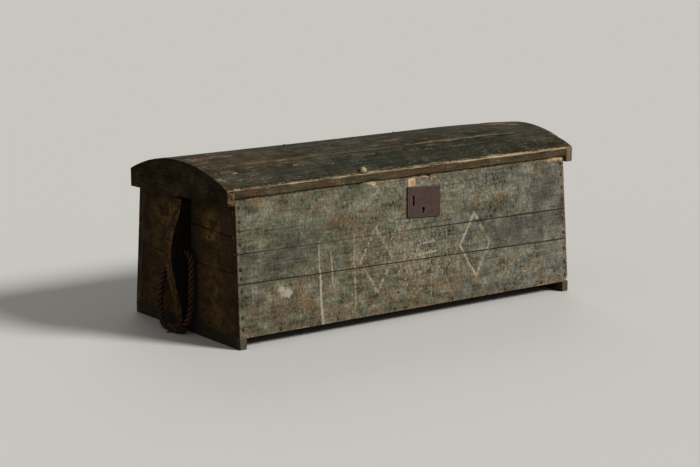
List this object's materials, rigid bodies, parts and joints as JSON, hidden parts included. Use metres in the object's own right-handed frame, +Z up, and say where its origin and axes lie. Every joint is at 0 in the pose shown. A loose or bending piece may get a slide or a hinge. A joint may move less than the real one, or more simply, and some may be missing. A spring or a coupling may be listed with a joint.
{
  "type": "sea chest",
  "caption": "Long plank-built chest with canted sides, an arched hinged lid, rope becket handles on bowed end blocks and an iron hasp lock.",
  "frame": {"origin": "on the floor under the middle of the box, at the underside of the two runners", "axes": "+X along the length towards the right end seen from the front, -Y towards the front with the lock, +Z up"},
  "size_m": [1.1834, 0.4954, 0.4404],
  "materials": {
    "painted_wood": "worn grey-green paint over wood",
    "end_wood": "dark olive-brown worn paint",
    "lid_wood": "weathered dark paint with bare streaks",
    "bare_wood": "bare aged softwood",
    "runner_wood": "grey unpainted wood",
    "rusty_iron": "rust-brown wrought iron",
    "rope": "reddish-brown tarred hemp"
  },
  "bodies": {
    "box": {"back_board_lower": "painted_wood", "back_board_middle": "painted_wood", "back_board_upper": "painted_wood", "back_nails": "rusty_iron", "bottom_plank_back": "bare_wood", "bottom_plank_front": "bare_wood", "bottom_plank_middle": "bare_wood", "front_board_lower": "painted_wood", "front_board_middle": "painted_wood", "front_board_upper": "painted_wood", "front_nails": "rusty_iron", "left_end_board_lower": "end_wood", "left_end_board_middle": "end_wood", "left_end_board_upper": "end_wood", "left_handle_block": "end_wood", "left_handle_nails": "rusty_iron", "left_hinge_leaf": "rusty_iron", "left_hinge_leaf_nails": "rusty_iron", "left_hinge_pin": "rusty_iron", "left_runner": "runner_wood", "left_runner_nails": "rusty_iron", "lock_case": "rusty_iron", "lock_plate": "rusty_iron", "lock_plate_nails": "rusty_iron", "lock_spring": "rusty_iron", "right_end_board_lower": "end_wood", "right_end_board_middle": "end_wood", "right_end_board_upper": "end_wood", "right_handle_block": "end_wood", "right_handle_nails": "rusty_iron", "right_hinge_leaf": "rusty_iron", "right_hinge_leaf_nails": "rusty_iron", "right_hinge_pin": "rusty_iron", "right_runner": "runner_wood", "right_runner_nails": "rusty_iron"},
    "lid": {"lid_plank_front": "lid_wood", "lid_plank_front_middle": "lid_wood", "lid_plank_back_middle": "lid_wood", "lid_plank_back": "lid_wood", "lid_cleat_left": "lid_wood", "lid_cleat_right": "lid_wood", "lid_rib_left": "bare_wood", "lid_rib_right": "bare_wood", "lid_nails": "rusty_iron", "left_hinge_strap": "rusty_iron", "right_hinge_strap": "rusty_iron", "left_hinge_strap_nails": "rusty_iron", "right_hinge_strap_nails": "rusty_iron"},
    "left_becket": {"left_becket_rope": "rope"},
    "right_becket": {"right_becket_rope": "rope"},
    "bolt": {"lock_bolt": "rusty_iron"}
  },
  "joints": [
    {"name": "lid_hinge", "type": "hinge", "parent": "box", "child": "lid", "pos_m": [0, 0.22994, 0.35668], "axis": [-1, 0, 0], "range_deg": [0, 110]},
    {"name": "left_becket_swing", "type": "hinge", "parent": "box", "child": "left_becket", "pos_m": [-0.54503, -0.008, 0.208], "axis": [0, 1, 0], "range_deg": [0, 150]},
    {"name": "right_becket_swing", "type": "hinge", "parent": "box", "child": "right_becket", "pos_m": [0.54503, -0.008, 0.208], "axis": [0, -1, 0], "range_deg": [0, 150]},
    {"name": "lock_bolt_slide", "type": "slide", "parent": "box", "child": "bolt", "axis": [-0.9988, 0.0034, 0.0493], "range_m": [0, 0.012]}
  ]
}
